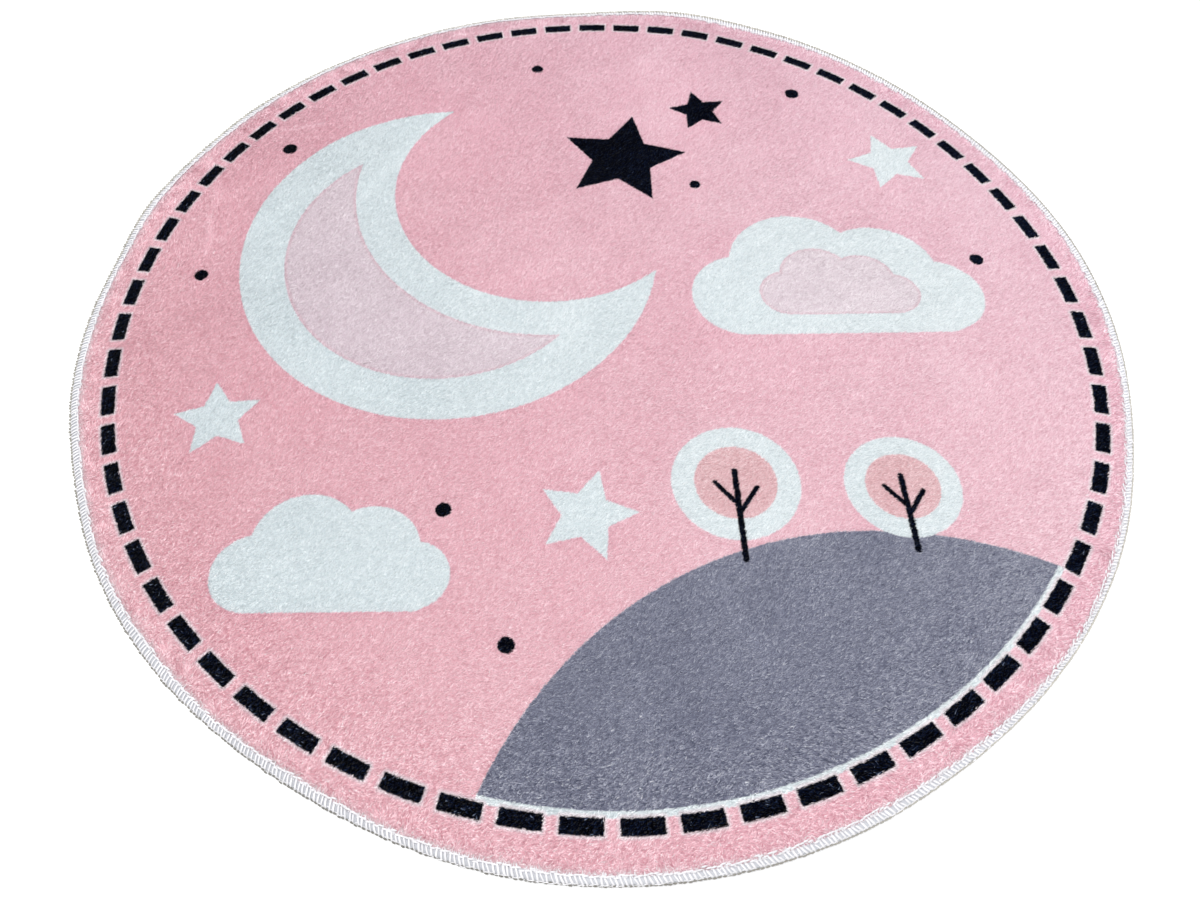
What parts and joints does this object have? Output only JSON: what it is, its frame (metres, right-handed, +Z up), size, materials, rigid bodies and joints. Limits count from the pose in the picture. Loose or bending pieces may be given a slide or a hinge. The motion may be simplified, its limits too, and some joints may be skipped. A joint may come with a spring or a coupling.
{
  "type": "round nursery rug",
  "caption": "Round flat nursery rug of short cut pile with a printed picture, a ring of printed dashes and an overlocked thread edge.",
  "frame": {"origin": "on the floor, under the middle of the rug's box", "axes": "+Z up through the pile; +X and +Y lie in the floor, with +Y away from the viewer of the printed picture"},
  "size_m": [0.9962, 1.0016, 0.0079],
  "materials": {
    "pile_cloth": "short velvety cut pile, printed; plain off-white backing",
    "edge_thread": "white polyester overlock thread, closely laid"
  },
  "bodies": {
    "root": {"pile_cloth": "pile_cloth", "overlock_edge": "edge_thread"}
  },
  "joints": []
}
